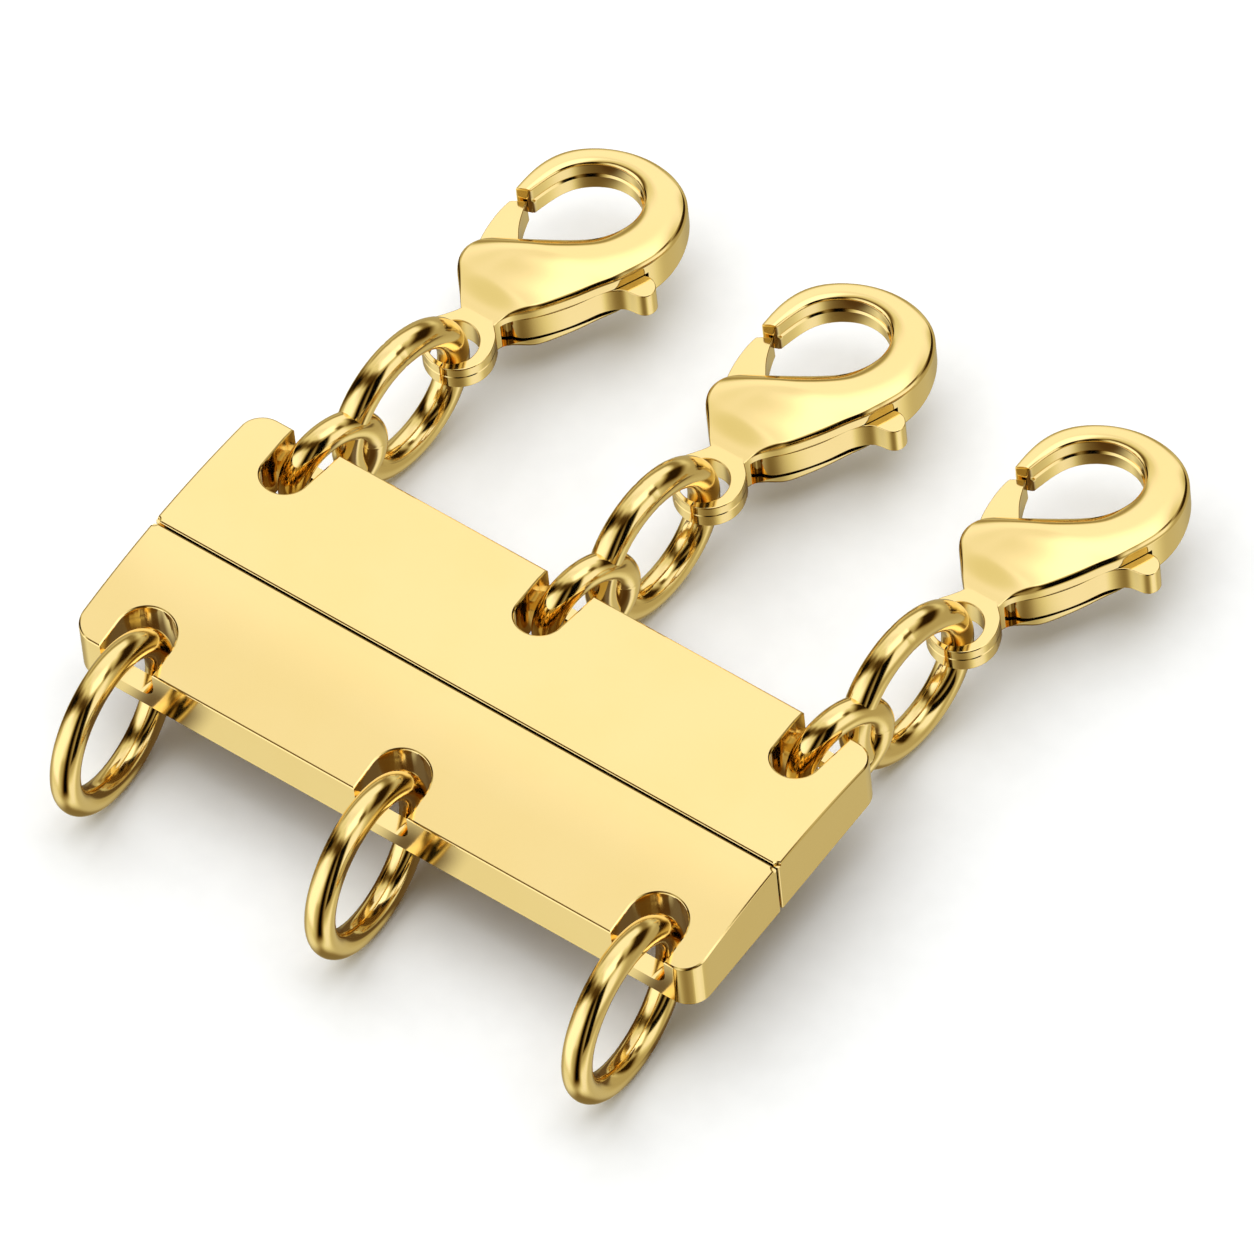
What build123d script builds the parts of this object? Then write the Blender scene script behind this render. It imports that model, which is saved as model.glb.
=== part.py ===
from build123d import *
from math import cos, hypot, radians, sin, sqrt
import os

# Three strand necklace clasp, in millimetres: X along the bar, Y towards the claws, Z up from the floor

# The bar is two halves with a level underside and one shallow arch for a top
bar_length = 30.0
bar_depth = 12.54
edge_height = 2.4
crown_height = 2.95
seam_y = -0.51
seam_gap = 0.08
outer_corner = 1.0
seam_corner = 0.3
edge_round = 0.1

# Three slots in each half are open at the long edge, with a low bridge across each opening
end_margin = 2.7
front_row_shift = 0.07
front_slot_width = 2.52
front_mouth_flare = 0.0
front_bridge_depth = 0.82
front_bridge_height = 0.8
front_slot_play = 0.32
back_row_shift = 0.2
back_slot_width = 2.0
back_mouth_flare = 0.1
back_bridge_depth = 0.55
back_bridge_height = 0.6
back_slot_play = 1.12
notch_corner = 0.7

# The end rings hang round the front bridges and stand on the floor
end_ring_radius = 3.4
end_ring_wire = 0.61
end_ring_rise = 0.81
end_ring_aside = 0.54
end_ring_turn = 3.4
end_ring_play = 0.07

# Each link is a small ring round a back bridge, soldered to a large ring that stands on the floor
small_radius = 1.95
small_wire = 0.62
small_rise = 0.55
small_aside = 0.25
small_turn = -17.0
small_play = 0.09
large_radius = 3.12
large_wire = 0.65
large_turn = -5.7
link_overlap = 1.17
link_turn = -7.4

# The strands lie a little unevenly: the second and third are turned and drawn in towards the bar
strand_turns = (0.0, 1.1, 1.1)
second_pull = 0.03
third_pull = 0.17

# The claws lie level on the large rings; their heights are measured down from the rim below the domed top
claw_width = 6.8
claw_length = 12.8
dome_rise = 0.3
top_round = 0.15
tail_depth = 3.0
hook_depth = 1.5
under_fall = 0.86
under_rise = 2.56
eye_radius = 1.65
eye_hole_radius = 1.12
eye_hole_inset = 0.13
eye_thickness = 1.2
eye_step = 0.3
eye_sink = 0.32
eye_aside = -0.26
eye_slack = 0.19
eye_slit = 0.08
eye_slit_aside = 0.27

# The lever turns on a pin in a pocket that runs through the claw from side to side
lever_thickness = 1.18
lever_top = 0.68
lever_clearance = 0.11
pin_radius = 0.35
pin_clearance = 0.05
pin_root = 0.1
boss_wall = 0.45
gate_gap = 0.1

# Claw outlines are shares of claw_width across and claw_length along, from the centre of the eye's hole.
# Each side of an outline is one smooth curve through its points.
hook_inside = [(-0.066, 0.105), (-0.165, 0.171), (-0.266, 0.236), (-0.3, 0.289), (-0.26, 0.349),
               (-0.174, 0.384), (-0.06, 0.418), (0.153, 0.486), (0.315, 0.553), (0.415, 0.66),
               (0.357, 0.763), (0.14, 0.801), (-0.069, 0.748), (-0.15, 0.687), (-0.207, 0.584)]
hook_outside = [(-0.294, 0.566), (-0.274, 0.684), (-0.178, 0.78), (-0.015, 0.848), (0.207, 0.879),
                (0.432, 0.86), (0.593, 0.82), (0.682, 0.758), (0.706, 0.666), (0.668, 0.556),
                (0.585, 0.461), (0.406, 0.299), (0.193, 0.163), (0.165, 0.137), (0.154, 0.105)]
gate_outside = [(-0.037, 0.199), (-0.169, 0.27), (-0.272, 0.34), (-0.316, 0.418), (-0.334, 0.512),
                (-0.337, 0.551), (-0.335, 0.59)]
lever_inside = [(-0.235, 0.59), (-0.206, 0.539), (-0.162, 0.484), (-0.118, 0.448), (-0.059, 0.406),
                (0.088, 0.359), (0.324, 0.371), (0.471, 0.418), (0.584, 0.488), (0.625, 0.531),
                (0.703, 0.544), (0.772, 0.512), (0.744, 0.473), (0.676, 0.463), (0.618, 0.457),
                (0.551, 0.43), (0.515, 0.406), (0.45, 0.34), (0.29, 0.222), (0.176, 0.18),
                (0.074, 0.164), (0.015, 0.172), (-0.02, 0.186)]
pocket_corners = [(-0.059, 0.184), (0.044, 0.148), (0.956, 0.148), (0.956, 0.555), (0.574, 0.555),
                  (0.5, 0.496), (0.368, 0.418), (0.191, 0.418), (0.147, 0.504), (-0.412, 0.543),
                  (-0.382, 0.363), (-0.235, 0.285)]
pivot_share = (0.074, 0.23)
under_share = (0.147, 0.121)

# Sizes that follow from the ones above
half_depth = bar_depth / 2
crown_rise = crown_height - edge_height
arch_radius = (half_depth ** 2 + crown_rise ** 2) / (2 * crown_rise)
bar_bottom = end_ring_radius + end_ring_wire - end_ring_rise
strand_pitch = bar_length / 2 - end_margin
strand_steps = (-1, 0, 1)
front_slots = [front_row_shift + strand_pitch * step for step in strand_steps]
back_slots = [back_row_shift + strand_pitch * step for step in strand_steps]
strand_pulls = (0, second_pull, third_pull)

front_bridge_y = front_bridge_depth - half_depth
end_ring_reach = end_ring_radius - end_ring_wire - end_ring_play
end_ring_y = front_bridge_y - sqrt(end_ring_reach ** 2 - end_ring_rise ** 2)
front_slot_end = end_ring_y + end_ring_radius + end_ring_wire + front_slot_play

back_bridge_y = half_depth - back_bridge_depth
small_lean = cos(radians(small_turn))
small_reach = small_radius - small_wire - small_play
small_y = back_bridge_y + small_lean * sqrt(small_reach ** 2 - small_rise ** 2)
back_slot_end = small_y - small_lean * (small_radius + small_wire) - back_slot_play

link_spacing = small_radius + large_radius - link_overlap
large_x = -link_spacing * sin(radians(link_turn))
large_y = link_spacing * cos(radians(link_turn))
large_z = large_radius + large_wire
eye_z = large_z - eye_sink
wire_reach = sqrt(large_radius ** 2 - eye_sink ** 2)
eye_x = large_x - wire_reach * sin(radians(large_turn)) + eye_aside
eye_y = large_y + wire_reach * cos(radians(large_turn)) + eye_slack
rim_z = eye_z + eye_thickness / 2 + eye_step
under_slope_x = -under_fall / claw_width
under_slope_y = under_rise / claw_length
pocket_height = lever_thickness + 2 * lever_clearance
pocket_floor = rim_z - lever_top - lever_thickness - lever_clearance


def arch_height(y):
    return bar_bottom + crown_height - arch_radius + sqrt(arch_radius ** 2 - y ** 2)


def half_blank(outer_y, inner_y):
    top = ThreePointArc(*[(0, y, arch_height(y)) for y in (outer_y, (outer_y + inner_y) / 2, inner_y)])
    sides = Polyline((0, inner_y, arch_height(inner_y)), (0, inner_y, bar_bottom), (0, outer_y, bar_bottom),
                     (0, outer_y, arch_height(outer_y)))
    blank = extrude(Face(Wire([top, *sides.edges()])), bar_length / 2, dir=(1, 0, 0), both=True)
    uprights = blank.edges().filter_by(Axis.Z)
    blank = fillet(uprights.filter_by_position(Axis.Y, outer_y, outer_y), outer_corner)
    uprights = blank.edges().filter_by(Axis.Z)
    return fillet(uprights.filter_by_position(Axis.Y, inner_y, inner_y), seam_corner)


def slot_cut(x, width, end_y, mouth_y, flare):
    side = 1 if mouth_y > end_y else -1
    turn_y = end_y + side * width / 2
    round_end = ThreePointArc((x - width / 2, turn_y), (x, end_y), (x + width / 2, turn_y))
    mouth = Polyline((x + width / 2, turn_y), (x + width / 2 + flare, mouth_y),
                     (x - width / 2 - flare, mouth_y), (x - width / 2, turn_y))
    outline = Face(Wire([round_end, *mouth.edges()]))
    return Pos(0, 0, bar_bottom - crown_height) * extrude(outline, 3 * crown_height, dir=(0, 0, 1))


def notch_cut(x, width, flare, bridge_height, edge_y, bridge_y):
    floor_z = bar_bottom + bridge_height
    opening = Box(width + 2 * flare, 2 * abs(edge_y - bridge_y), 2 * crown_height,
                  align=(Align.CENTER, Align.CENTER, Align.MIN))
    corners = opening.edges().filter_by(Axis.Y).filter_by_position(Axis.Z, 0, 0)
    return Pos(x, edge_y, floor_z) * fillet(corners, notch_corner)


def plate(outer_y, inner_y, slots, width, flare, end_y, bridge_y, bridge_height):
    solid = half_blank(outer_y, inner_y)
    for x in slots:
        solid -= slot_cut(x, width, end_y, bridge_y, flare)
        solid -= notch_cut(x, width, flare, bridge_height, outer_y, bridge_y)
    top_edges = solid.faces().filter_by(GeomType.CYLINDER).sort_by(SortBy.AREA)[-1].edges()
    return fillet(top_edges, edge_round)


def ring(x, y, z, radius, wire, turn):
    return Pos(x, y, z) * Rot(0, 0, turn) * Rot(0, 90, 0) * Torus(radius, wire)


def soldered_link():
    small_ring = ring(0, 0, bar_bottom + small_rise, small_radius, small_wire, small_turn)
    large_ring = ring(large_x, large_y, large_z, large_radius, large_wire, large_turn)
    return small_ring + large_ring


def claw_point(share):
    return (eye_x + share[0] * claw_width, eye_y + share[1] * claw_length)


def claw_outline(first_side, second_side):
    first = Spline(*[claw_point(share) for share in first_side])
    second = Spline(*[claw_point(share) for share in second_side])
    return Face(Wire([first, Line(first @ 1, second @ 0), second, Line(second @ 1, first @ 0)]))


def slab(face, low_z, high_z):
    return Pos(0, 0, low_z) * extrude(face, high_z - low_z, dir=(0, 0, 1))


def claw_body():
    outline = claw_outline(hook_inside, hook_outside)
    top_z = rim_z + dome_rise
    hook_floor = rim_z - hook_depth
    under_x, under_y = claw_point(under_share)
    under_plane = Plane(origin=(under_x, under_y, rim_z - tail_depth),
                        z_dir=(-under_slope_x, -under_slope_y, 1))
    under = under_plane * Box(4 * claw_length, 4 * claw_length, 2 * claw_length,
                              align=(Align.CENTER, Align.CENTER, Align.MAX))
    solid = slab(outline, hook_floor, top_z)
    solid = fillet(solid.faces().sort_by(Axis.Z)[-1].edges(), top_round)
    solid += slab(outline, rim_z - 2 * tail_depth, hook_floor) - under
    pocket = Face(Wire(Polyline(*[claw_point(share) for share in pocket_corners], close=True).edges()))
    solid -= slab(pocket, pocket_floor, pocket_floor + pocket_height)
    pivot_x, pivot_y = claw_point(pivot_share)
    pin = Cylinder(pin_radius, pocket_height + 2 * pin_root)
    solid += Pos(pivot_x, pivot_y, pocket_floor + pocket_height / 2) * pin
    eye_centre_y = eye_y + eye_hole_inset
    solid += Pos(eye_x, eye_centre_y, eye_z) * Cylinder(eye_radius, eye_thickness)
    solid -= Pos(eye_x, eye_y, eye_z) * Cylinder(eye_hole_radius, eye_thickness)
    slit_y = eye_y - eye_hole_radius
    return solid - Pos(eye_x + eye_slit_aside, slit_y, eye_z) * Box(eye_slit, eye_hole_radius, eye_thickness)


def claw_lever():
    outline = claw_outline(gate_outside, lever_inside)
    low_z = rim_z - lever_top - lever_thickness
    pivot_x, pivot_y = claw_point(pivot_share)
    tip_x, tip_y = claw_point(hook_inside[-1])
    gate_reach = hypot(tip_x - pivot_x, tip_y - pivot_y) - gate_gap
    at_pivot = Pos(pivot_x, pivot_y, low_z + lever_thickness / 2)
    solid = slab(outline, low_z, low_z + lever_thickness)
    solid += at_pivot * Cylinder(pin_radius + pin_clearance + boss_wall, lever_thickness)
    solid -= at_pivot * Cylinder(pin_radius + pin_clearance, lever_thickness)
    beyond = Box(claw_width, claw_length, lever_thickness, align=(Align.MAX, Align.MIN, Align.CENTER))
    return solid - at_pivot * (beyond - Cylinder(gate_reach, lever_thickness))


nodes = {}
front_seam_y = seam_y - seam_gap / 2
back_seam_y = seam_y + seam_gap / 2
nodes["front_plate"] = plate(-half_depth, front_seam_y, front_slots, front_slot_width, front_mouth_flare,
                             front_slot_end, front_bridge_y, front_bridge_height)
nodes["back_plate"] = plate(half_depth, back_seam_y, back_slots, back_slot_width, back_mouth_flare,
                            back_slot_end, back_bridge_y, back_bridge_height)
for number, slot_x in enumerate(front_slots, start=1):
    nodes[f"front_ring_{number}"] = ring(slot_x + end_ring_aside, end_ring_y, bar_bottom + end_ring_rise,
                                         end_ring_radius, end_ring_wire, end_ring_turn)

strand_pieces = {"link": soldered_link(), "claw_body": claw_body(), "claw_lever": claw_lever()}
for number, (slot_x, turn, pull) in enumerate(zip(back_slots, strand_turns, strand_pulls), start=1):
    place = Pos(slot_x + small_aside, small_y - pull, 0) * Rot(0, 0, turn)
    for name, piece in strand_pieces.items():
        nodes[f"{name}_{number}"] = place * piece

# The origin is the middle of the whole clasp's plan, on the floor
extent = Compound(children=[Part() + node for node in nodes.values()]).bounding_box()
to_origin = Pos(-extent.center().X, -extent.center().Y, 0)
os.makedirs("parts", exist_ok=True)
for name, node in nodes.items():
    export_step(to_origin * node, f"parts/{name}.step")
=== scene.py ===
import math

import bmesh
import bpy
import numpy as np
from mathutils import Matrix, Vector


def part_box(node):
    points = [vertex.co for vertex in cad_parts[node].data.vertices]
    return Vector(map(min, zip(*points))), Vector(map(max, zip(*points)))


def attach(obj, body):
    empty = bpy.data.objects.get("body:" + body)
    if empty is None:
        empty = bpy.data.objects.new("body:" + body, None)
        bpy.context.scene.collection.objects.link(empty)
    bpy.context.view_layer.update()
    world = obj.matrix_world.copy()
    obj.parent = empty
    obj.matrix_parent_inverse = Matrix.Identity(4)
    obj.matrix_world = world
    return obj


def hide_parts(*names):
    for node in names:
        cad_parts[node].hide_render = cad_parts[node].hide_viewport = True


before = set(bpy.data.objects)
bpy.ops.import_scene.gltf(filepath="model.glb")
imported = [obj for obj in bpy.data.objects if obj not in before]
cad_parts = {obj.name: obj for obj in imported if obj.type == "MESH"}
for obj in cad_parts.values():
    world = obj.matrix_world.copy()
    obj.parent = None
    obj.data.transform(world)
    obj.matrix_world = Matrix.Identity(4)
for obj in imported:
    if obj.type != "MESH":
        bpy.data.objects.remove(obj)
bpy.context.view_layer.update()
print("clasp: frame loaded,", len(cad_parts), "solids")

# Pieces are drawn in millimetres from the middle of the bar, heights from the floor, and set down in metres
barMiddle = (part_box("front_plate")[0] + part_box("back_plate")[1]) / 2
setDown = Matrix.Translation((barMiddle.x, barMiddle.y, 0)) @ Matrix.Scale(0.001, 4)


# Modelling by hand, in short

near = 0.01  # lengths and places that differ by less count as equal
tall = 9.0  # a cutter with its top there clears every piece
creaseAngle = 35  # degrees, over which an edge of a round piece stays sharp


def toObjectMode():
    if bpy.context.object and bpy.context.object.mode != 'OBJECT':
        bpy.ops.object.mode_set(mode='OBJECT')
    bpy.ops.object.select_all(action='DESELECT')


def makeActive(piece):
    toObjectMode()
    piece.select_set(True)
    bpy.context.view_layer.objects.active = piece


def toEditMode(piece, selecting='VERT'):
    makeActive(piece)
    bpy.ops.object.mode_set(mode='EDIT')
    bpy.ops.mesh.select_mode(type=selecting)


def choose(piece, kind, test):  # kind is verts, edges or faces
    bpy.ops.mesh.select_all(action='DESELECT')
    mesh = bmesh.from_edit_mesh(piece.data)
    mesh.normal_update()
    for item in [item for item in getattr(mesh, kind) if test(item)]:
        item.select_set(True)
    bmesh.update_edit_mesh(piece.data)


def isLevel(edge):
    return abs(edge.verts[0].co.z - edge.verts[1].co.z) < near


def isUpright(edge):
    return abs(edge.verts[0].co.z - edge.verts[1].co.z) > 0.5


def outwards(piece):
    toEditMode(piece)
    bpy.ops.mesh.select_all(action='SELECT')
    bpy.ops.mesh.normals_make_consistent(inside=False)
    toObjectMode()


def finishWith(piece, kind, **settings):
    makeActive(piece)
    modifier = piece.modifiers.new(kind.title(), kind)
    for name, value in settings.items():
        setattr(modifier, name, value)
    bpy.ops.object.modifier_apply(modifier=modifier.name)


def combine(piece, tool, how):
    finishWith(piece, 'BOOLEAN', operation=how, object=tool, solver='EXACT')
    bpy.data.objects.remove(tool)


def named(name):
    piece = bpy.context.object
    piece.name = piece.data.name = name
    return piece


def block(name, low, high):
    toObjectMode()
    size = [b - a for a, b in zip(low, high)]
    middle = [(a + b) / 2 for a, b in zip(low, high)]
    bpy.ops.mesh.primitive_cube_add(size=1, location=middle, scale=size)
    bpy.ops.object.transform_apply(location=True, rotation=True, scale=True)
    return named(name)


def rod(name, x, y, low, high, radius, sides=64):
    toObjectMode()
    bpy.ops.mesh.primitive_cylinder_add(vertices=sides, radius=radius, depth=high - low,
                                        location=(x, y, (low + high) / 2))
    bpy.ops.object.transform_apply(location=True, rotation=True, scale=True)
    return named(name)


def slab(name, outline, low, high):  # a flat outline, drawn round and pulled up
    toObjectMode()
    bpy.ops.mesh.primitive_circle_add(vertices=len(outline), radius=1, fill_type='NGON')
    piece = named(name)
    for vertex, (x, y) in zip(piece.data.vertices, outline):
        vertex.co = (x, y, low)
    toEditMode(piece, 'FACE')
    bpy.ops.mesh.select_all(action='SELECT')
    bpy.ops.mesh.extrude_region_move(TRANSFORM_OT_translate={"value": (0, 0, high - low)})
    outwards(piece)
    return piece


def smoothLine(points, count):  # evenly spaced points on a natural cubic through the given ones
    points = np.array(points, float)
    steps = np.linalg.norm(np.diff(points, axis=0), axis=1) ** 0.75
    knots = np.concatenate([[0], np.cumsum(steps)])
    size = len(knots)
    rows = np.eye(size)
    known = np.zeros((size, points.shape[1]))
    for i in range(1, size - 1):
        rows[i, i - 1:i + 2] = steps[i - 1], 2 * (steps[i - 1] + steps[i]), steps[i]
        known[i] = 6 * ((points[i + 1] - points[i]) / steps[i] - (points[i] - points[i - 1]) / steps[i - 1])
    bends = np.linalg.solve(rows, known)
    at = np.linspace(0, knots[-1], count)
    left = np.clip(np.searchsorted(knots, at, side='right') - 1, 0, size - 2)
    width = steps[left][:, None]
    before = (at - knots[left])[:, None]
    after = width - before
    return (bends[left] * after ** 3 + bends[left + 1] * before ** 3) / (6 * width) \
        + (points[left] / width - bends[left] * width / 6) * after \
        + (points[left + 1] / width - bends[left + 1] * width / 6) * before


def shadeSmooth(piece, angle, weighted=False):
    makeActive(piece)
    bpy.ops.object.shade_smooth_by_angle(angle=math.radians(angle), keep_sharp_edges=False)
    if weighted:
        finishWith(piece, 'WEIGHTED_NORMAL', weight=100, keep_sharp=True)


def complete(piece, node, body, material):
    piece.data.transform(setDown)
    piece.data.materials.clear()
    piece.data.materials.append(material)
    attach(piece, body)
    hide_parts(node)


# Shaders as sums

class Wire:  # one socket of a node tree, with its maths written as Python
    def __init__(self, tree, socket=None):
        self.tree, self.socket = tree, socket

    def make(self, kind, settings=None, values=None, output=0):
        node = self.tree.nodes.new(kind)
        for name, setting in (settings or {}).items():
            if name == "stops":
                ramp = node.color_ramp
                while len(ramp.elements) < len(setting):
                    ramp.elements.new(0.5)
                for element, (place, colour) in zip(ramp.elements, setting):
                    element.position, element.color = place, colour
            else:
                setattr(node, name, setting)
        for name, value in (values or {}).items():
            if isinstance(value, Wire):
                self.tree.links.new(value.socket, node.inputs[name])
            else:
                node.inputs[name].default_value = value
        return Wire(self.tree, node.outputs[output] if node.outputs else None)

    def sum(self, operation, first, second):
        return self.make('ShaderNodeMath', {"operation": operation}, {0: first, 1: second})

    def __add__(self, other):
        return self.sum('ADD', self, other)

    def __sub__(self, other):
        return self.sum('SUBTRACT', self, other)

    def __rsub__(self, other):
        return self.sum('SUBTRACT', other, self)

    def __mul__(self, other):
        return self.sum('MULTIPLY', self, other)

    __radd__ = __add__
    __rmul__ = __mul__

    def size(self):
        return self.sum('ABSOLUTE', self, 0)

    def step(self, low, high, toLow=0.0, toHigh=1.0):  # a soft step between two values
        return self.make('ShaderNodeMapRange', {"interpolation_type": 'SMOOTHSTEP'},
                         {"Value": self, "From Min": low, "From Max": high, "To Min": toLow, "To Max": toHigh})

    def along(self, direction):
        return self.make('ShaderNodeVectorMath', {"operation": 'DOT_PRODUCT'}, {0: self, 1: direction}, "Value")

    def blend(self, other, amount):  # other takes over where amount is 1
        return self + (other - self) * amount


def emptyTree(owner):
    owner.use_nodes = True
    owner.node_tree.nodes.clear()
    return Wire(owner.node_tree)


# Camera, floor and studio light

camera = dict(azimuth=40.888, elevation=55.206, roll=6.403, place=(365.580, -421.137, 805.783), lens=717.16,
              sensor=36, nearest=0.01, farthest=20)

bpy.ops.object.camera_add(location=[value * 0.001 for value in camera["place"]])
cameraObject = named("camera")
turn = Matrix.Rotation(math.radians(camera["azimuth"]), 3, 'Z') \
    @ Matrix.Rotation(math.radians(90 - camera["elevation"]), 3, 'X') \
    @ Matrix.Rotation(math.radians(-camera["roll"]), 3, 'Z')
cameraObject.rotation_euler = turn.to_euler()
cameraObject.data.lens = camera["lens"]
cameraObject.data.sensor_width = camera["sensor"]
cameraObject.data.clip_start, cameraObject.data.clip_end = camera["nearest"], camera["farthest"]
bpy.context.scene.camera = cameraObject
bpy.context.scene.view_settings.view_transform = 'Standard'

studio = dict(
    back=0.80, right=0.42, low=0.45, underneath=0.22,  # light from there, and next the soft steps between
    backToRight=(-0.2, 0.9), horizon=(-0.12, 0.06), nadir=(-0.88, -0.98), patchFade=(0, 0.1),
    patches=[  # two ends as azimuth and elevation, half width and softness in degrees, light there
        ((94, 10), (88, 34), 13, 24, 1.05),
        ((-28, 72), (85, 68), 10, 13, 1.55),
        ((-142, -22), (-152, 26), 15, 28, 1.25),
        ((-40, 30), (-12, 55), 17, 26, 1.08),
        ((-75, 67), (-62, 63), 8, 12, 0.95),
        ((95, -60), (100, -45), 10, 20, 0.95),
        ((41, -55), (41, -50), 8, 20, 0.56),
        ((-139, -60), (-139, -45), 8, 20, 0.83),
        ((148, -46), (148, 60), 4, 20, 0.0),
        ((110, 50), (115, -16), 8, 8, 0.0),
        ((50, 55), (61, 44), 3, 7, 0.12),
        ((-75, 12), (-40, 10), 3, 12, 0.35),
        ((-79, -26), (-99, 14), 2, 15, 0.02),
        ((-98, 10), (-116, 42), 2, 15, 0.0),
        ((-114, 40), (-160, 62), 1, 14, 0.12),
        ((-160, 63), (150, 62), 2, 13, 0.06),
        ((-32, 5), (22, 24), 2, 11, 0.25),
        ((12, 24), (44, 20), 8, 18, 0.02)],
    tints=[(0.04, (1, 0.45, 0.05, 1)), (0.1, (1, 0.62, 0.15, 1)), (0.2, (1, 0.75, 0.32, 1)),
           (0.36, (1, 0.85, 0.48, 1)), (0.55, (1, 0.92, 0.61, 1)), (0.78, (1, 0.98, 0.72, 1)), (0.97, (1, 1, 1, 1))],
    key=dict(direction=(-60, 70), size=2.0, distance=1.2, power=20.0),
    floorColour=(0.92, 0.935, 0.96, 1), floorSpeck=(0.905, 0.92, 0.945, 1), floorSize=6.0, speckScale=900.0,
    speckSpread=(0.3, 0.7))


def towards(azimuth, elevation):
    a, e = math.radians(azimuth), math.radians(elevation)
    return Vector((math.sin(a) * math.cos(e), math.cos(a) * math.cos(e), math.sin(e)))


bpy.context.scene.world = bpy.data.worlds.new("studio")
sky = emptyTree(bpy.context.scene.world)
look = sky.make('ShaderNodeTexCoord', output="Generated")
height = look.along((0, 0, 1))
light = look.along((1, 0, 0)).step(*studio["backToRight"], studio["back"], studio["right"])
light = height.step(*studio["horizon"]) * (light - studio["low"]) + studio["low"]
light = light.blend(studio["underneath"], height.step(*studio["nadir"]))
for start, end, halfWidth, softness, level in studio["patches"]:
    first, last = towards(*start), towards(*end)
    middle, lengthwise = (first + last).normalized(), (last - first).normalized()
    sideways = middle.cross(lengthwise)
    mask = 1.0
    for direction, inner in ((sideways, math.radians(halfWidth)), (lengthwise, first.angle(last) / 2)):
        outer = min(inner + math.radians(softness), math.pi / 2)
        mask = look.along(direction).size().step(math.sin(outer), math.sin(inner)) * mask
    mask = mask * look.along(middle).step(*studio["patchFade"])
    light = light.blend(level, mask)
tint = sky.make('ShaderNodeValToRGB', {"stops": studio["tints"]}, {"Fac": light})
background = sky.make('ShaderNodeBackground', values={"Color": tint, "Strength": light})
sky.make('ShaderNodeOutputWorld', values={"Surface": background})

key = studio["key"]
bpy.ops.object.light_add(type='AREA', location=towards(*key["direction"]) * key["distance"])
keyLight = named("keyLight")
keyLight.rotation_euler = towards(*key["direction"]).to_track_quat('Z', 'Y').to_euler()
keyLight.data.energy, keyLight.data.size = key["power"], key["size"]
keyLight.visible_glossy = False  # it only lightens the floor and draws the soft shadows

toObjectMode()
bpy.ops.mesh.primitive_plane_add(size=studio["floorSize"])
floor = named("floor")
floorMaterial = bpy.data.materials.new("paleFloor")
tree = emptyTree(floorMaterial)
grain = tree.make('ShaderNodeTexNoise', values={"Vector": tree.make('ShaderNodeTexCoord', output="Object"),
                                                "Scale": studio["speckScale"], "Detail": 3.0})
shade = tree.make('ShaderNodeMix', {"data_type": 'RGBA'}, {
    0: grain.step(*studio["speckSpread"]), 6: studio["floorColour"], 7: studio["floorSpeck"]}, 2)
paper = tree.make('ShaderNodeBsdfDiffuse', values={"Color": shade, "Roughness": 1.0})
tree.make('ShaderNodeOutputMaterial', values={"Surface": paper})
floor.data.materials.append(floorMaterial)
floor.visible_glossy = False  # polished metal sees the studio's own lower half instead

# Painted shade for the polished metal: a card seen only in reflections, dark under the clasp in soft shapes
# in millimetres from the bar's middle, each with its half width and depth and how far its edge fades
underShade = dict(
    height=0.02, size=120, density=0.9, paintedShadeColour=(1, 0.5, 0.15, 1), paintedShadeStrength=0.08,
    shapes=[((0, 0), (14.8, 7.3), 0.6)] + [((x, -8.1), (1.4, 0.9), 0.7) for x in (-12.23, 0.07, 12.37)] + [
        ((x + aside, y), half, fade) for x in (-11.85, 0.45, 12.75) for aside, y, half, fade in (
            (0.45, 17.4, (2.4, 3.4), 2.2), (0.0, 21.0, (1.6, 0.7), 1.0))])
toObjectMode()
bpy.ops.mesh.primitive_plane_add(size=underShade["size"])
shadeCard = named("underShade")
shadeMaterial = bpy.data.materials.new("underShade")
tree = emptyTree(shadeMaterial)
place = tree.make('ShaderNodeTexCoord', output="Object")
mask = None
for middle, halves, fade in underShade["shapes"]:
    shape = 1.0
    for axis, start, at, half in zip(((1, 0, 0), (0, 1, 0)), barMiddle, middle, halves):
        away = (place.along(axis) - (start + at / 1000)).size()
        shape = away.step((half + fade) / 1000, (half - fade) / 1000) * shape
    mask = shape if mask is None else mask + shape
clear = tree.make('ShaderNodeBsdfTransparent')
# the painted shade: a faint dark-brown glow inside the shapes, clear elsewhere
dark = tree.make('ShaderNodeEmission', values={"Color": underShade["paintedShadeColour"], "Strength": underShade["paintedShadeStrength"]})
mixed = tree.make('ShaderNodeMixShader', values={0: mask * underShade["density"], 1: clear, 2: dark})
tree.make('ShaderNodeOutputMaterial', values={"Surface": mixed})
shadeCard.data.materials.append(shadeMaterial)
shadeCard.data.transform(Matrix.Scale(0.001, 4))
shadeCard.data.transform(Matrix.Translation((0, 0, underShade["height"] / 1000)))
shadeCard.visible_camera = shadeCard.visible_diffuse = shadeCard.visible_shadow = False
print("clasp: camera, floor and light")


# Polished gold

gold = dict(
    bright=(1.0, 0.775, 0.345, 1), deep=(0.99, 0.76, 0.325, 1), cloudScale=190.0, brushScale=4200.0,
    deepSpread=(0.35, 0.7), wearSpread=(0.45, 0.75), brushSpread=(0.5, 0.8),
    rippleDepth=0.0001, brush=0.02, brushDepth=0.00002,
    plate=dict(roughness=0.09, wear=0.02, ripple=0.03, rippleScale=260, lineStretch=(1, 14, 1)),
    wire=dict(roughness=0.10, wear=0.02, ripple=0.03, rippleScale=420, lineStretch=(1, 1, 1)),
    cast=dict(roughness=0.10, wear=0.025, ripple=0.04, rippleScale=330, lineStretch=(1, 1, 1)))


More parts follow.
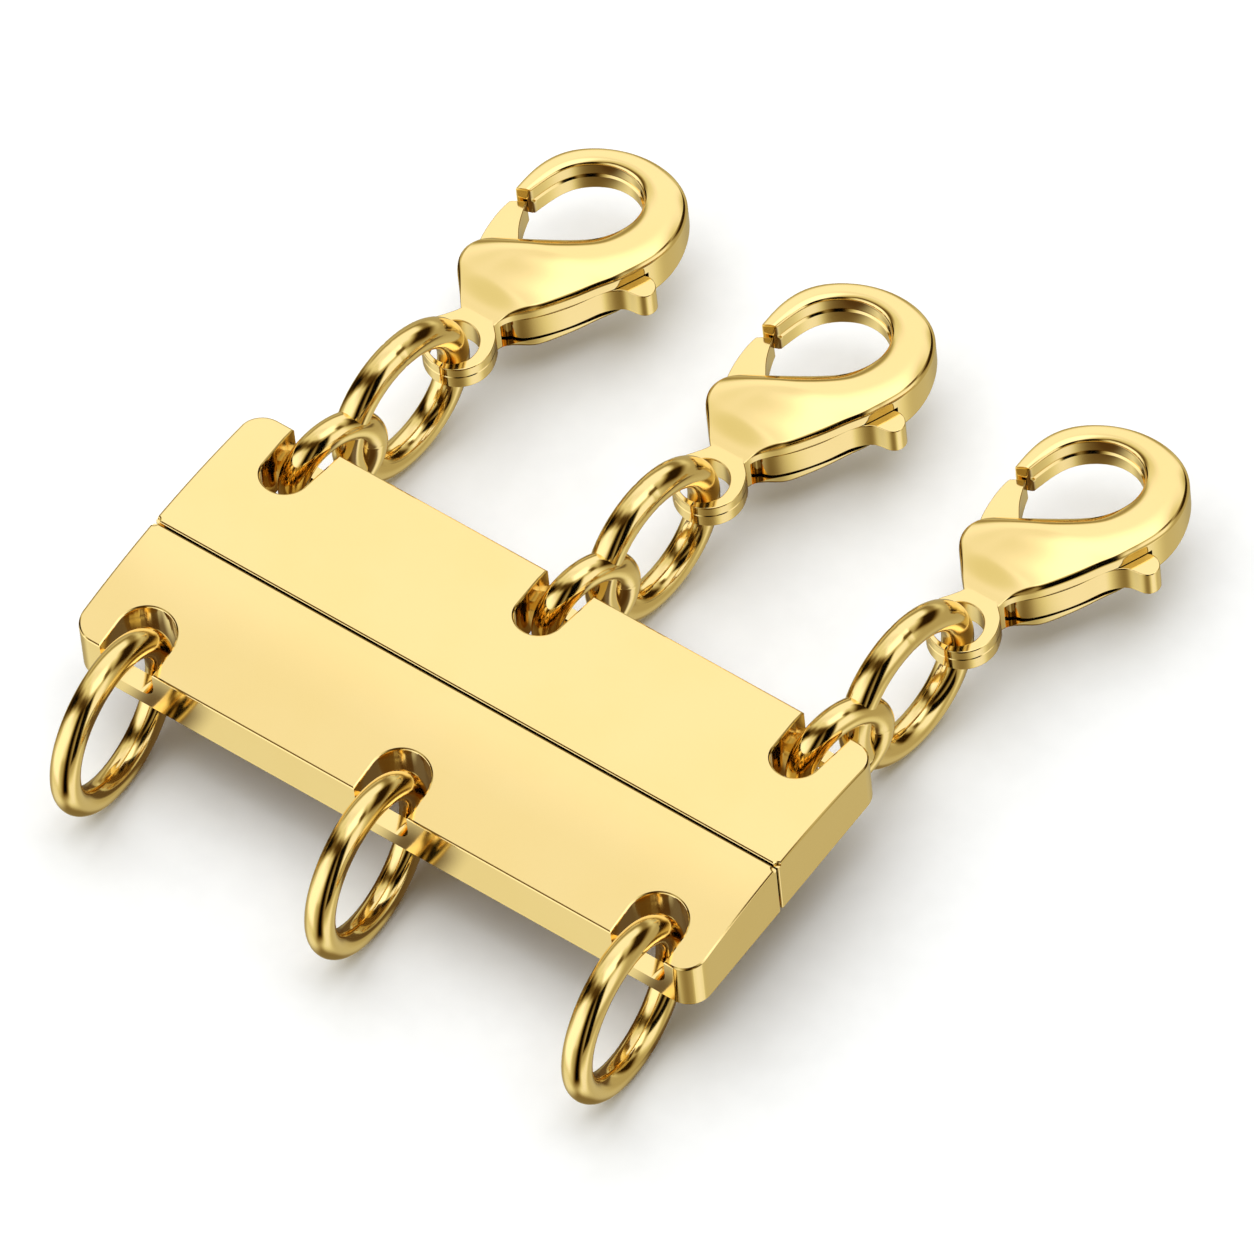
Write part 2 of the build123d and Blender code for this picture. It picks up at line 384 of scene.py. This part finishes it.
def goldFinish(name, look):
    material = bpy.data.materials.new(name)
    tree = emptyTree(material)
    place = tree.make('ShaderNodeTexCoord', output="Object")
    cloud = tree.make('ShaderNodeTexNoise', values={"Vector": place, "Scale": gold["cloudScale"], "Detail": 3.0})
    lined = tree.make('ShaderNodeMapping', values={"Vector": place, "Scale": look["lineStretch"]})
    brushed = tree.make('ShaderNodeTexNoise', values={"Vector": lined, "Scale": gold["brushScale"], "Detail": 4.0})
    ripple = tree.make('ShaderNodeTexNoise', values={"Vector": place, "Scale": look["rippleScale"], "Detail": 1.0})
    colour = tree.make('ShaderNodeMix', {"data_type": 'RGBA'},
                       {0: cloud.step(*gold["deepSpread"]), 6: gold["bright"], 7: gold["deep"]}, 2)
    rough = look["roughness"] + cloud.step(*gold["wearSpread"], 0, look["wear"]) \
        + brushed.step(*gold["brushSpread"], 0, look["wear"])
    bump = tree.make('ShaderNodeBump', values={"Strength": look["ripple"], "Distance": gold["rippleDepth"],
                                               "Height": ripple})
    bump = tree.make('ShaderNodeBump', values={"Strength": gold["brush"], "Distance": gold["brushDepth"],
                                               "Height": brushed, "Normal": bump})
    shader = tree.make('ShaderNodeBsdfPrincipled', values={"Base Color": colour, "Metallic": 1.0, "Roughness": rough,
                                                           "Normal": bump})
    tree.make('ShaderNodeOutputMaterial', values={"Surface": shader})
    return material


plateGold = goldFinish("plateGold", gold["plate"])
wireGold = goldFinish("wireGold", gold["wire"])
castGold = goldFinish("castGold", gold["cast"])
print("clasp: gold finishes")


# The two halves of the bar

bar = dict(length=30.0, depth=12.54, foot=3.2, edgeHeight=2.4, crownHeight=2.95, seamY=-0.51,
           outerCorner=1.0, outerSteps=16, seamCorner=0.1, seamSteps=4,
           endNotch=0.22, endNotchDepth=1.1, endNotchSides=40,
           rimWidth=0.08, rimDrop=0.04, frontLift=0.011, frontReach=0.035, edgeRound=0.03, lowRound=0.05,
           pitch=12.3, slotSteps=96, notchSteps=10, strip=0.36, flatTop=5.2, topReach=0.15, weld=0.0005,
           creaseAngle=12)
frontHalf = dict(name="frontPlate", node="front_plate", body="front_half", outerY=-6.27, innerY=-0.55, shift=0.07,
                 slotWidth=2.52, flare=0.0, slotEnd=-3.717, bridgeY=-5.45, bridgeHeight=0.8, notchCorner=0.7)
backHalf = dict(name="backPlate", node="back_plate", body="back_half", outerY=6.27, innerY=-0.47, shift=0.2,
                slotWidth=2.0, flare=0.1, slotEnd=3.205, bridgeY=5.72, bridgeHeight=0.6, notchCorner=0.7)
archRise = bar["crownHeight"] - bar["edgeHeight"]
archRadius = ((bar["depth"] / 2) ** 2 + archRise ** 2) / (2 * archRise)


def archHeight(y):
    return bar["foot"] + bar["crownHeight"] - archRadius + math.sqrt(archRadius ** 2 - y ** 2)


def slotCutter(half, x):
    side = 1 if half["outerY"] > 0 else -1
    radius = half["slotWidth"] / 2
    turnY = half["slotEnd"] + side * radius
    toObjectMode()
    bpy.ops.mesh.primitive_circle_add(vertices=bar["slotSteps"], radius=radius, location=(x, turnY, 0))
    bpy.ops.object.transform_apply(location=True)
    cutter = named("slotCutter")
    toEditMode(cutter)
    choose(cutter, "verts", lambda v: side * (v.co.y - turnY) > near)
    bpy.ops.mesh.delete(type='VERT')
    choose(cutter, "verts", lambda v: abs(v.co.y - turnY) < near)
    bpy.ops.mesh.extrude_vertices_move(TRANSFORM_OT_translate={"value": (0, half["bridgeY"] - turnY, 0)})
    bpy.ops.transform.resize(value=((radius + half["flare"]) / radius, 1, 1),
                             center_override=(x, half["bridgeY"], 0))
    bpy.ops.mesh.select_all(action='SELECT')
    bpy.ops.mesh.edge_face_add()
    bpy.ops.mesh.extrude_region_move(TRANSFORM_OT_translate={"value": (0, 0, tall)})
    outwards(cutter)
    return cutter


def notchCutter(half, x):
    wide = half["slotWidth"] / 2 + half["flare"]
    floorZ = bar["foot"] + half["bridgeHeight"]
    nearY, farY = sorted([half["bridgeY"], half["outerY"] * 1.1])
    cutter = block("notchCutter", (x - wide, nearY, floorZ), (x + wide, farY, tall))
    toEditMode(cutter, 'EDGE')
    choose(cutter, "edges", lambda e: all(v.co.z < floorZ + near for v in e.verts)
           and abs(e.verts[0].co.x - e.verts[1].co.x) < near)
    bpy.ops.mesh.bevel(offset=half["notchCorner"], segments=bar["notchSteps"], affect='EDGES', clamp_overlap=False)
    toObjectMode()
    return cutter


def makePlate(half):
    halfLength = bar["length"] / 2
    nearY, farY = sorted([half["outerY"], half["innerY"]])
    plate = block(half["name"], (-halfLength, nearY, bar["foot"]), (halfLength, farY, bar["flatTop"]))
    for edgeY, corner, segments in ((half["outerY"], bar["outerCorner"], bar["outerSteps"]),
                                    (half["innerY"], bar["seamCorner"], bar["seamSteps"])):
        toEditMode(plate, 'EDGE')
        choose(plate, "edges", lambda e: isUpright(e) and all(abs(v.co.y - edgeY) < near for v in e.verts))
        bpy.ops.mesh.bevel(offset=corner, segments=segments, affect='EDGES', clamp_overlap=False)
        toObjectMode()
    for step in (-1, 0, 1):
        x = half["shift"] + step * bar["pitch"]
        combine(plate, slotCutter(half, x), 'DIFFERENCE')
        combine(plate, notchCutter(half, x), 'DIFFERENCE')
    for x in (-halfLength, halfLength):  # a fine notch where the seam meets each end
        low = bar["foot"] + bar["crownHeight"] - bar["endNotchDepth"]
        combine(plate, rod("endNotch", x, bar["seamY"], low, tall, bar["endNotch"], bar["endNotchSides"]),
                'DIFFERENCE')
    toEditMode(plate, 'EDGE')
    bpy.ops.mesh.select_all(action='SELECT')
    bpy.ops.mesh.remove_doubles(threshold=bar["weld"])
    choose(plate, "faces", lambda f: f.normal.z > 0.99 and f.calc_center_median().z > bar["flatTop"] - near)
    bpy.ops.mesh.inset(thickness=bar["rimWidth"])
    choose(plate, "edges", lambda e: all(v.co.z > bar["flatTop"] - near for v in e.verts)
           and any(abs(f.normal.z) < 0.5 for f in e.link_faces))
    bpy.ops.transform.translate(value=(0, 0, -bar["rimDrop"]))
    bpy.ops.mesh.bevel(offset=bar["edgeRound"], segments=2, affect='EDGES', clamp_overlap=False)
    choose(plate, "edges", lambda e: all(v.co.z < bar["foot"] + near for v in e.verts)
           and any(abs(f.normal.z) < 0.5 for f in e.link_faces))
    bpy.ops.mesh.bevel(offset=bar["lowRound"], segments=2, affect='EDGES', clamp_overlap=False)
    for y in np.arange(nearY + bar["strip"], farY - 0.1, bar["strip"]):
        bpy.ops.mesh.select_all(action='SELECT')
        bpy.ops.mesh.bisect(plane_co=(0, y, 0), plane_no=(0, 1, 0))
    toObjectMode()
    for vertex in plate.data.vertices:  # the flat top takes its arch
        if vertex.co.z > bar["flatTop"] - bar["topReach"]:
            vertex.co.z += archHeight(vertex.co.y) - bar["flatTop"]
            if vertex.co.y < bar["frontReach"] - bar["depth"] / 2:  # the near rim mirrors dark when it falls less
                vertex.co.z += bar["frontLift"]
    shadeSmooth(plate, bar["creaseAngle"], weighted=True)
    complete(plate, half["node"], half["body"], plateGold)


makePlate(frontHalf)
makePlate(backHalf)
print("clasp: bar halves")


# Rings

endRing = dict(radius=3.4, wire=0.61, rise=0.81, aside=0.54, turn=3.4, y=-8.047)
link = dict(smallRadius=1.95, smallWire=0.62, smallRise=0.55, smallTurn=-17.0, largeRadius=3.12, largeWire=0.65,
            largeTurn=-5.7, spacing=3.9, lean=-7.4)
ringMesh = dict(roundSteps=192, sectionSteps=56, joinSink=0.012)


def ring(name, x, y, z, radius, wire, turn, joinAt):  # joinAt is the soldered join's place round it
    toObjectMode()
    bpy.ops.mesh.primitive_torus_add(location=(x, y, z), rotation=(0, math.radians(90), math.radians(turn)),
                                     major_radius=radius, minor_radius=wire, major_segments=ringMesh["roundSteps"],
                                     minor_segments=ringMesh["sectionSteps"])
    piece = named(name)
    toEditMode(piece)  # a fine soldered join across the wire
    there = Vector((math.cos(math.radians(joinAt)), math.sin(math.radians(joinAt)), 0))
    across = there.cross(Vector((0, 0, 1)))
    choose(piece, "verts", lambda v: v.co.dot(there) > 0
           and abs(v.co.dot(across)) < radius * math.pi / ringMesh["roundSteps"])
    bpy.ops.transform.shrink_fatten(value=-ringMesh["joinSink"])
    toObjectMode()
    makeActive(piece)
    bpy.ops.object.transform_apply(location=True, rotation=True, scale=True)
    bpy.ops.object.shade_smooth()
    return piece


for number in (1, 2, 3):
    x = frontHalf["shift"] + (number - 2) * bar["pitch"] + endRing["aside"]
    piece = ring(f"endRing{number}", x, endRing["y"], bar["foot"] + endRing["rise"], endRing["radius"],
                 endRing["wire"], endRing["turn"], 90)
    complete(piece, f"front_ring_{number}", "front_half", wireGold)
print("clasp: end rings")

# The strands share their pieces, drawn from the middle of the small ring
strands = dict(smallY=6.783, aside=0.25, turns=(0.0, 1.1, 1.1), pulls=(0.0, 0.03, 0.17))


def placeStrands(pattern, name, node, bodies, material):
    for number in (1, 2, 3):
        x = backHalf["shift"] + (number - 2) * bar["pitch"] + strands["aside"]
        y = strands["smallY"] - strands["pulls"][number - 1]
        piece = pattern.copy()
        piece.data = pattern.data.copy()
        piece.name = piece.data.name = f"{name}{number}"
        bpy.context.collection.objects.link(piece)
        turn = Matrix.Rotation(math.radians(strands["turns"][number - 1]), 4, 'Z')
        piece.data.transform(Matrix.Translation((x, y, 0)) @ turn)
        complete(piece, f"{node}_{number}", bodies.format(number), material)
    bpy.data.objects.remove(pattern)


largeX = -link["spacing"] * math.sin(math.radians(link["lean"]))
largeY = link["spacing"] * math.cos(math.radians(link["lean"]))
largeZ = link["largeRadius"] + link["largeWire"]
pattern = ring("strandLink", 0, 0, bar["foot"] + link["smallRise"], link["smallRadius"], link["smallWire"],
               link["smallTurn"], 90)
largeRing = ring("largeRing", largeX, largeY, largeZ, link["largeRadius"], link["largeWire"], link["largeTurn"], 180)
combine(pattern, largeRing, 'UNION')
shadeSmooth(pattern, creaseAngle)
placeStrands(pattern, "strandLink", "link", "back_half", wireGold)
print("clasp: links")


# Lobster claws

claw = dict(
    x=0.5505, y=7.1457, width=6.8, length=12.8, crown=0.26, domePower=2.0, crest=0.42, domePoints=25, rimPoints=5,
    rightRound=0.28, leftRound=0.24, tailDrop=0.235, dropBlend=1.7, swellBlend=4.5, ledgeFrom=5.5, ledgeBlend=1.5,
    ledge=0.09, leastRound=0.15, tipChamfer=0.09, tipRise=0.063, lowPoints=6, lowRound=0.3,
    wall=[(0, -0.5), (0, -0.66), (1, -0.74), (1, -0.86)],
    tailDepth=2.78, tailRise=0.75, hookDepth=1.5, underFall=0.86, underRise=2.56, stations=150, weld=0.00005,
    left=[(-0.073, 0.112), (-0.165, 0.171), (-0.266, 0.236), (-0.3, 0.289), (-0.26, 0.349), (-0.174, 0.384),
          (-0.06, 0.418), (0.153, 0.486), (0.315, 0.553), (0.415, 0.66), (0.357, 0.763), (0.14, 0.801),
          (-0.069, 0.748), (-0.15, 0.687), (-0.207, 0.584)],
    right=[(0.158, 0.113), (0.192, 0.163), (0.294, 0.223), (0.368, 0.273), (0.456, 0.344), (0.515, 0.398),
           (0.566, 0.441), (0.618, 0.496), (0.668, 0.556), (0.706, 0.666), (0.593, 0.82), (0.207, 0.879),
           (-0.178, 0.78), (-0.274, 0.684), (-0.294, 0.566)],
    pocket=[(-0.059, 0.18), (0.044, 0.137), (0.956, 0.137), (0.956, 0.555), (0.574, 0.555), (0.5, 0.496),
            (0.368, 0.418), (0.191, 0.418), (0.147, 0.504), (-0.412, 0.543), (-0.382, 0.363), (-0.235, 0.285)],
    pivot=(0.074, 0.23), under=(0.147, 0.121), pocketTop=0.57, pocketDepth=1.49, pinRadius=0.35, pinRoot=0.1,
    pinSides=48)
eye = dict(x=0.8305, y=7.288, z=3.53, radius=1.47, holeX=0.7405, holeY=7.126, hole=1.04, thickness=1.2, step=0.22,
           slit=0.08, slitAside=0.27, slitReach=0.56, edge=0.06, groove=0.04, grooveHalf=0.04, grooveLift=0.08,
           holeSides=96, turns=(160, 381, 4), neckPoints=24,
           neckRight=[(1.45, 1.11), (1.29, 1.29), (1.12, 1.46), (1.0, 1.57), (0.9, 1.65)],
           neckLeft=[(-0.48, 1.62), (-0.53, 1.51), (-0.62, 1.32), (-0.78, 1.08), (-0.93, 0.87)])
lever = dict(
    thickness=1.32, top=0.62, boreRadius=0.4, bossWall=0.45, gateGap=0.1, edge=0.05, weld=0.06, tipRound=0.4,
    outsidePoints=40, insidePoints=160, reachSides=256, tipUp=3, tipAside=0.6, boreSides=48, bossMargin=0.02,
    outside=[(0.0, 0.213), (-0.037, 0.201), (-0.169, 0.27), (-0.272, 0.34), (-0.314, 0.418), (-0.322, 0.51),
             (-0.31, 0.551), (-0.285, 0.59)],
    inside=[(-0.235, 0.59), (-0.206, 0.539), (-0.162, 0.484), (-0.118, 0.448), (-0.059, 0.406), (0.088, 0.359),
            (0.324, 0.371), (0.471, 0.418), (0.584, 0.488), (0.625, 0.531), (0.703, 0.544), (0.772, 0.512),
            (0.744, 0.473), (0.676, 0.463), (0.618, 0.457), (0.551, 0.43), (0.515, 0.406), (0.45, 0.34),
            (0.29, 0.222), (0.2, 0.188), (0.11, 0.185)])
rimZ = eye["z"] + eye["thickness"] / 2 + eye["step"]


def clawPoint(share):
    return (claw["x"] + share[0] * claw["width"], claw["y"] + share[1] * claw["length"])


def underside(x, y):
    fromX, fromY = clawPoint(claw["under"])
    return rimZ - claw["tailDepth"] - (x - fromX) * claw["underFall"] / claw["width"] \
        + (y - fromY) * claw["underRise"] / claw["length"]


def easeIn(share):
    share = min(1, max(0, share))
    return share * share * (3 - 2 * share)


def section(wide, swell, full, ledge):  # across the claw's top and down its walls: aside from the middle, height
    crown, power, crest = claw["crown"] * wide / 2 * swell, claw["domePower"], (claw["crest"] - 0.5) * wide
    sides = []
    for half, edge, ease in ((wide / 2 - crest, claw["rightRound"], 0), (wide / 2 + crest, claw["leftRound"], ledge)):
        edge = min(edge, wide / 6) * full  # a narrow end keeps narrow rounds
        end = half - edge
        for _ in range(4):
            slope = math.atan(crown * power / half * (end / half) ** (power - 1))
            end = half - edge * (1 - math.sin(slope))
        dome = [end * math.sin(math.pi / 2 * t) for t in np.linspace(0, 1, claw["domePoints"])]
        dome = [(x, crown * (1 - (x / half) ** power)) for x in dome]
        centre = dome[-1][1] - edge * math.cos(slope)
        turns = np.linspace(slope, math.pi / 2, claw["rimPoints"] + 1)[1:]
        rim = [(half - edge + edge * math.sin(a), centre + edge * math.cos(a)) for a in turns]
        sides.append(dome + rim + [(half + ease * out, z) for out, z in claw["wall"]])
    right, left = sides
    return [(crest + x, z) for x, z in right], [(crest - x, z) for x, z in left[:0:-1]]


def hookShell():  # a closed shell: one side of the grid runs from eye to tip, the other round the section
    count = claw["stations"]
    lines = smoothLine([clawPoint(a) + clawPoint(b) for a, b in zip(claw["left"], claw["right"])], count)
    spine = (lines[:, :2] + lines[:, 2:]) / 2
    reach = np.concatenate([[0], np.cumsum(np.hypot(*np.diff(spine, axis=0).T))])
    lowTurns = np.linspace(0, math.pi / 2, claw["lowPoints"] + 1)
    sections = []
    for row in range(count):
        a, b = lines[row, :2], lines[row, 2:]
        wide, risen = math.hypot(*(b - a)), easeIn(reach[row] / claw["dropBlend"])
        hooked = easeIn((reach[row] - claw["ledgeFrom"]) / claw["ledgeBlend"])
        upper, side = section(wide, easeIn(reach[row] / claw["swellBlend"]), max(claw["leastRound"], risen),
                              hooked * claw["ledge"])
        drop = claw["tailDrop"] * (1 - risen)
        low = claw["lowRound"] * min(1, wide / 3)
        floorRight, floorLeft = [min(underside(*end), rimZ - claw["hookDepth"]) + claw["tailRise"] * (1 - risen)
                                 for end in (b, a)]
        loop = [(x, rimZ - drop + z) for x, z in upper]
        loop += [(wide / 2 - low * (1 - math.cos(t)), floorRight + low * (1 - math.sin(t))) for t in lowTurns]
        loop += [(-wide / 2 + low * (1 - math.cos(t)) - hooked * claw["ledge"],
                  floorLeft + low * (1 - math.sin(t))) for t in lowTurns[::-1]]
        loop += [(x, rimZ - drop + z) for x, z in side]
        along = (b - a) / wide
        sections.append([(*((a + b) / 2 + along * x), z) for x, z in loop])
    around = len(sections[0])
    toObjectMode()
    bpy.ops.mesh.primitive_grid_add(x_subdivisions=around, y_subdivisions=count - 1, size=2)
    shell = named("clawBody")
    for vertex in shell.data.vertices:
        column = round((vertex.co.x + 1) / 2 * around) % around
        row = round((vertex.co.y + 1) / 2 * (count - 1))
        vertex.co = sections[row][column]
    toEditMode(shell)
    bpy.ops.mesh.select_all(action='SELECT')
    bpy.ops.mesh.remove_doubles(threshold=claw["weld"])
    bpy.ops.mesh.select_mode(type='EDGE')
    choose(shell, "edges", lambda e: len(e.link_faces) == 1)
    bpy.ops.mesh.edge_face_add()
    outwards(shell)
    toEditMode(shell, 'FACE')  # the cut end of the hook is slightly raised, with a fine chamfer
    tip = Vector((*spine[-1], rimZ - claw["hookDepth"] / 2))
    choose(shell, "faces", lambda f: len(f.verts) > 20 and (f.calc_center_median() - tip).length < 1)
    bpy.ops.mesh.inset(thickness=claw["tipChamfer"], depth=claw["tipRise"])
    toObjectMode()
    return shell


shell = hookShell()
pocketTop = rimZ - claw["pocketTop"]
combine(shell, slab("pocket", [clawPoint(share) for share in claw["pocket"]], pocketTop - claw["pocketDepth"],
                    pocketTop), 'DIFFERENCE')
pivotX, pivotY = clawPoint(claw["pivot"])
combine(shell, rod("pin", pivotX, pivotY, pocketTop - claw["pocketDepth"] - claw["pinRoot"],
                   pocketTop + claw["pinRoot"], claw["pinRadius"], claw["pinSides"]), 'UNION')


def eyeLoop():  # a flat ring whose outline opens into the claw's neck
    half, seam = eye["thickness"] / 2, eye["z"] + eye["grooveLift"]
    low, high = eye["z"] - half, eye["z"] + half
    turns = np.radians(np.arange(*eye["turns"]))
    # The circle runs from the left of the neck round the eye, and its last points start the neck's right flare
    circle = [(eye["x"] + eye["radius"] * math.cos(t), eye["y"] + eye["radius"] * math.sin(t)) for t in turns]
    right, left = [[(claw["x"] + x, claw["y"] + y) for x, y in eye[side]] for side in ("neckRight", "neckLeft")]
    outline = smoothLine(circle[-3:] + right, eye["neckPoints"])[4:]
    loop = slab("eye", circle[:-2] + list(outline) + left, low, high)
    toEditMode(loop, 'EDGE')
    choose(loop, "edges", isLevel)
    bpy.ops.mesh.bevel(offset=eye["edge"], segments=3, affect='EDGES')
    for lift in (-eye["grooveHalf"], 0, eye["grooveHalf"]):  # a line round the wall, where the two layers meet
        bpy.ops.mesh.select_all(action='SELECT')
        bpy.ops.mesh.bisect(plane_co=(0, 0, seam + lift), plane_no=(0, 0, 1))
    choose(loop, "verts", lambda v: abs(v.co.z - seam) < near)
    bpy.ops.transform.resize(value=(1 - eye["groove"] / eye["radius"],) * 2 + (1,),
                             center_override=(eye["x"], eye["y"], eye["z"]))
    toObjectMode()
    combine(loop, rod("eyeHole", eye["holeX"], eye["holeY"], low - 1, high + 1, eye["hole"], eye["holeSides"]),
            'DIFFERENCE')
    toEditMode(loop, 'EDGE')
    choose(loop, "edges", lambda e: isLevel(e) and all(abs(math.hypot(
        v.co.x - eye["holeX"], v.co.y - eye["holeY"]) - eye["hole"]) < near for v in e.verts))
    bpy.ops.mesh.bevel(offset=eye["edge"], segments=3, affect='EDGES', clamp_overlap=False)
    toObjectMode()
    slitX, slitY = eye["holeX"] + eye["slitAside"], eye["holeY"] - eye["hole"]
    combine(loop, block("slit", (slitX - eye["slit"] / 2, slitY - eye["slitReach"], low - 1),
                        (slitX + eye["slit"] / 2, slitY + eye["slitReach"], high + 1)), 'DIFFERENCE')
    return loop


combine(shell, eyeLoop(), 'UNION')
shadeSmooth(shell, creaseAngle, weighted=True)
placeStrands(shell, "clawBody", "claw_body", "back_half", castGold)
print("clasp: claw bodies")


def leverShape():
    high = rimZ - lever["top"]
    low = high - lever["thickness"]
    outside = smoothLine([clawPoint(share) for share in lever["outside"]], lever["outsidePoints"])
    inside = smoothLine([clawPoint(share) for share in lever["inside"]], lever["insidePoints"])
    piece = slab("clawLever", list(outside) + list(inside), low, high)
    tipX, tipY = clawPoint(claw["left"][-1])
    reach = math.hypot(tipX - pivotX, tipY - pivotY) - lever["gateGap"]
    beyond = block("beyond", (pivotX - tall, pivotY, low - 1), (pivotX, pivotY + tall, high + 1))
    combine(beyond, rod("reach", pivotX, pivotY, low - 2, high + 2, reach, lever["reachSides"]), 'DIFFERENCE')
    combine(piece, beyond, 'DIFFERENCE')
    toEditMode(piece, 'EDGE')  # the gate's far corner is rounded
    choose(piece, "edges", lambda e: isUpright(e) and e.calc_face_angle(0) > 0.5
           and e.verts[0].co.y > pivotY + lever["tipUp"] and e.verts[0].co.x < tipX - lever["tipAside"])
    bpy.ops.mesh.bevel(offset=lever["tipRound"], segments=6, affect='EDGES', clamp_overlap=False)
    toObjectMode()
    boss = lever["boreRadius"] + lever["bossWall"]
    combine(piece, rod("boss", pivotX, pivotY, low, high, boss), 'UNION')
    combine(piece, rod("bore", pivotX, pivotY, low - 1, high + 1, lever["boreRadius"], lever["boreSides"]),
            'DIFFERENCE')
    toEditMode(piece, 'EDGE')
    bpy.ops.mesh.select_all(action='SELECT')
    bpy.ops.mesh.sort_elements(type='CURSOR_DISTANCE', elements={'VERT', 'EDGE', 'FACE'})  # one order for every run
    bpy.ops.mesh.remove_doubles(threshold=lever["weld"])  # short edges would cross in the bevel
    choose(piece, "faces", lambda f: abs(f.normal.z) > 0.99)
    bpy.ops.mesh.dissolve_limited(angle_limit=math.radians(0.5))  # top and underside become one face each
    choose(piece, "edges", lambda e: len(e.link_faces) == 2 and e.calc_face_angle(0) > 1 and isLevel(e)
           and all(math.hypot(v.co.x - pivotX, v.co.y - pivotY) > boss + lever["bossMargin"]
                   for v in e.verts))
    bpy.ops.mesh.bevel(offset=lever["edge"], segments=3, affect='EDGES', clamp_overlap=False)
    toObjectMode()
    shadeSmooth(piece, creaseAngle, weighted=True)
    return piece


placeStrands(leverShape(), "clawLever", "claw_lever", "lever_{}", castGold)
print("clasp: claw levers")
